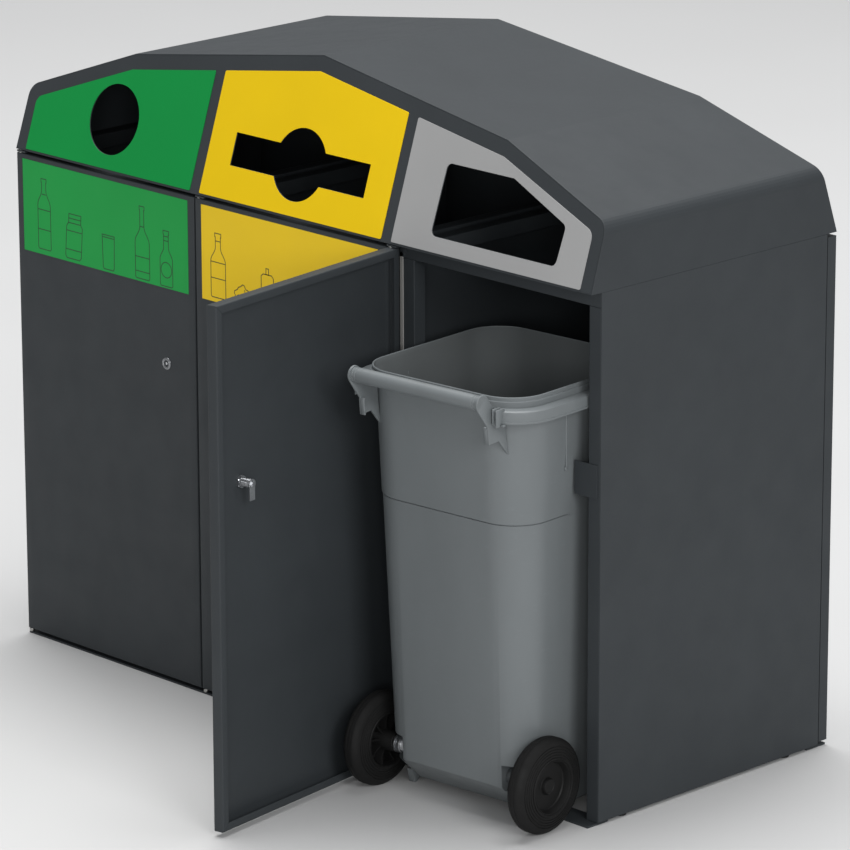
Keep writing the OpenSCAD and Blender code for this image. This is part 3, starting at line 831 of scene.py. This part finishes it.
def bracket_mesh():
    """Hooked plates that carry the handle, a clip beside each, and the ribs under the collar."""
    bm = bmesh.new()
    hook = [
        (-146, -10), (-130, -32), (-115, -52), (-112, -88), (-82, -86), (-53, -121), (-60, -78),
        (-64, -38), (-78, -22), (-98, -12), (-117, 6), (-124, 12),
    ]
    fin = [(-115, -54), (-112, -88), (-108, -88), (-111, -52)]
    clips = [
        ((4.5, 8), (-107, -84), (COLLAR_Z - 2, RIM_Z - 15)),
        ((15.5, 19), (-109, -84), (COLLAR_Z - 5, RIM_Z - 15)),
        ((4.5, 19), (-92, -84), (COLLAR_Z, RIM_Z - 28)),
        ((19, 27), (-98, -90), (COLLAR_Z - 4, COLLAR_Z)),
    ]
    for side in (-1, 1):
        centre = side * BRACKET_X
        plate(bm, [(y, RIM_Z + h) for y, h in hook], centre - 2.5, centre + 2.5)
        plate(bm, [(y, RIM_Z + h) for y, h in fin], *sorted((centre, centre - side * 11)))
        for x, y, z in clips:
            side_slab(bm, side, (BRACKET_X + x[0], BRACKET_X + x[1]), y, z)
        side_slab(bm, side, (205.5, 212), (75, 78.5), (RIM_Z - 172, RIM_Z - 45))
        side_slab(bm, side, (205.5, 212), (72.5, 80.5), (RIM_Z - 174, RIM_Z - 167))
    return bm


def foot_mesh():
    """Two wedge-shaped front feet, and two blocks that hang just over the floor behind."""
    bm = bmesh.new()
    for side in (-1, 1):
        plate(bm, [(42, 30), (48, 0), (56, 0), (90, 30)], side * FOOT_X - 8, side * FOOT_X + 8)
        side_slab(bm, side, (FOOT_X - 12, FOOT_X + 12), (280, 306), (4.5, 24))
    return bm


def cut_recesses(obj):
    """Cuts the space for the axle's ends out of both sides of the tub, for good."""
    bm = bmesh.new()
    for side in (1, -1):
        side_slab(bm, side, (RECESS_X, 215), (-60, 22), (AXLE_Z - RECESS_HALF, AXLE_Z + RECESS_HALF))
    mesh = bpy.data.meshes.new("cutter")
    bm.to_mesh(mesh)
    bm.free()
    cutter = bpy.data.objects.new("cutter", mesh)
    bpy.context.scene.collection.objects.link(cutter)
    modifier = obj.modifiers.new("cut", "BOOLEAN")
    modifier.operation = "DIFFERENCE"
    modifier.solver = "EXACT"
    modifier.object = cutter
    bake(obj)
    bpy.data.objects.remove(cutter)


def bake(obj):
    """Applies obj's modifiers."""
    graph = bpy.context.evaluated_depsgraph_get()
    done = bpy.data.meshes.new_from_object(obj.evaluated_get(graph))
    obj.modifiers.clear()
    obj.data = done
    done.shade_smooth()
    done.set_sharp_from_angle(angle=math.radians(35))


def make_bins():
    """Three bins from the same five meshes; the shell stands for the CAD tub."""
    plastic = MATERIALS["bin_plastic"]
    shell = finish_mesh("bin_shell", shell_mesh(), plastic, 28)
    # The tub's inner faces get painted shade: a darker copy of the plastic.
    paint_inner_shade(shell)
    cut_recesses(shell)
    parts = {
        "shell": shell,
        "collar": finish_mesh("bin_collar", collar_mesh(), plastic),
        "handle": finish_mesh("bin_handle", handle_mesh(), plastic),
        "brackets": finish_mesh("bin_brackets", bracket_mesh(), plastic),
        "feet": finish_mesh("bin_feet", foot_mesh(), plastic),
    }
    for name in ("brackets", "feet"):
        bevel(parts[name], 0.9)
        bake(parts[name])
    for bay in BAYS:
        place = bin_matrix(bay)
        for name, part in parts.items():
            replaced = f"bin_tub_{bay}" if name == "shell" else None
            piece = copy_of(part, f"bin_{name}_{bay}", place)
            add_piece(piece, f"bin_{bay}", replaced)
    for part in parts.values():
        bpy.data.objects.remove(part)


# ---- wheels ---------------------------------------------------------------------------------

TYRE_R = 100.0
SEAT_R = 62.0
SPOKES = 9


def tyre_mesh():
    """A solid tyre: its side walls slope out to the hub, with shallow rings and two tread lines."""
    bm = bmesh.new()
    wall = [(SEAT_R - 1, 20), (SEAT_R - 0.5, 23.2), (SEAT_R + 1, 24)]
    for radius in (67.5, 73, 78.5, 84):
        level = 24 - 4.4 * (radius - SEAT_R) / 29
        wall += [(radius - 1.3, level), (radius - 0.6, level - 1.6)]
        wall += [(radius + 0.6, level - 1.6), (radius + 1.3, level)]
    shoulder = [(89, 19.4), (92, 18.2), (95.4, 15.4), (98, 12), (99.4, 9.6), (TYRE_R, 7.5)]
    tread = [(TYRE_R, 5), (TYRE_R - 0.7, 4.6), (TYRE_R - 0.7, 3.8), (TYRE_R, 3.4)]
    side = wall + shoulder + tread
    lathe(bm, side + [(r, -x) for r, x in reversed(side)], 96)
    return bm


def hub_mesh():
    """The wheel's plastic centre: recessed disc and cap outside, ribs and nave inside."""
    bm = bmesh.new()
    nave = [(11, -48), (19, -48), (20, -47), (22, -10), (24.5, 1), (53, 2), (54.5, 1)]
    seat = [
        (55.5, -24), (56.3, -25.6), (57.5, -26), (60.5, -26), (61.4, -25), (61.8, -22),
        (61.8, 22), (61.4, 25), (60.5, 26), (58.6, 26), (57.8, 25),
    ]
    dish = [
        (57.4, 23.4), (56.4, 23.2), (55.8, 24.4), (54.6, 24.6), (53.6, 23), (50.4, 10), (48, 7.6),
        (30, 6.6), (19, 6.8), (17.4, 8),
    ]
    cap = [
        (16.4, 14.5), (15, 16.4), (12.6, 16.4), (11.6, 15.4), (6, 15.2), (0, 15.2), (0, 13), (11, 13),
    ]
    lathe(bm, nave + seat + dish + cap, 96)
    spoke = [(22, -18), (38, -16.5), (55, -22), (55, 3), (20, 3)]
    for k in range(SPOKES):
        turn = Matrix.Rotation(2 * math.pi * k / SPOKES, 3, "X")
        sides = [[turn @ Vector((x, y, radius)) * MM for radius, x in spoke] for y in (-1.9, 1.9)]
        skin(bm, sides, caps=(True, True))
    return bm


def shoulder_mesh():
    """The plated collars on the axle that show between tub and wheel."""
    bm = bmesh.new()
    lathe(bm, [
        (9, 133), (14.6, 133), (15, 134), (15, 149), (16, 151), (18, 151.4), (18.5, 152.4), (18.5, 158),
        (17.6, 160), (15, 161), (15, 162), (19, 163), (20, 164), (20, 167), (19.2, 168), (9, 168),
    ], 48)
    return bm


def make_wheels():
    """Two wheels and two sets of axle collars for each bin."""
    tyre = finish_mesh("tyre", tyre_mesh(), MATERIALS["tyre_rubber"], 25)
    hub = finish_mesh("hub", hub_mesh(), MATERIALS["black_plastic"], 30)
    bush = finish_mesh("bush", shoulder_mesh(), MATERIALS["zinc"], 30)
    for bay in BAYS:
        carrier = f"bin_{bay}_axle" if f"bin_{bay}_axle" in frame["bodies"] else f"bin_{bay}"
        axle = bin_matrix(bay) @ Matrix.Translation((0, 0, AXLE_Z * MM))
        for side, sign in (("a", -1), ("b", 1)):
            end = f"{bay}_{side}"
            turn = Matrix.Rotation(0 if sign > 0 else math.pi, 4, "Z")
            place = axle @ Matrix.Translation((sign * HALF_TRACK * MM, 0, 0)) @ turn
            ring, disc = copy_of(tyre, f"tyre_ring_{end}", place), copy_of(hub, f"hub_disc_{end}", place)
            add_piece(ring, f"wheel_{end}", f"tyre_{end}")
            add_piece(disc, f"wheel_{end}", f"hub_{end}")
            add_piece(copy_of(bush, f"axle_collars_{end}", axle @ turn), carrier)
    for part in (tyre, hub, bush):
        bpy.data.objects.remove(part)


# ---- build ----------------------------------------------------------------------------------

make_camera()
make_stage()
dress_cad_nodes()
make_doors()
# Light strips that paint a highlight on the inner bays' hinge posts.
make_highlight_strips()
make_locks()
make_pictograms()
make_bins()
make_wheels()
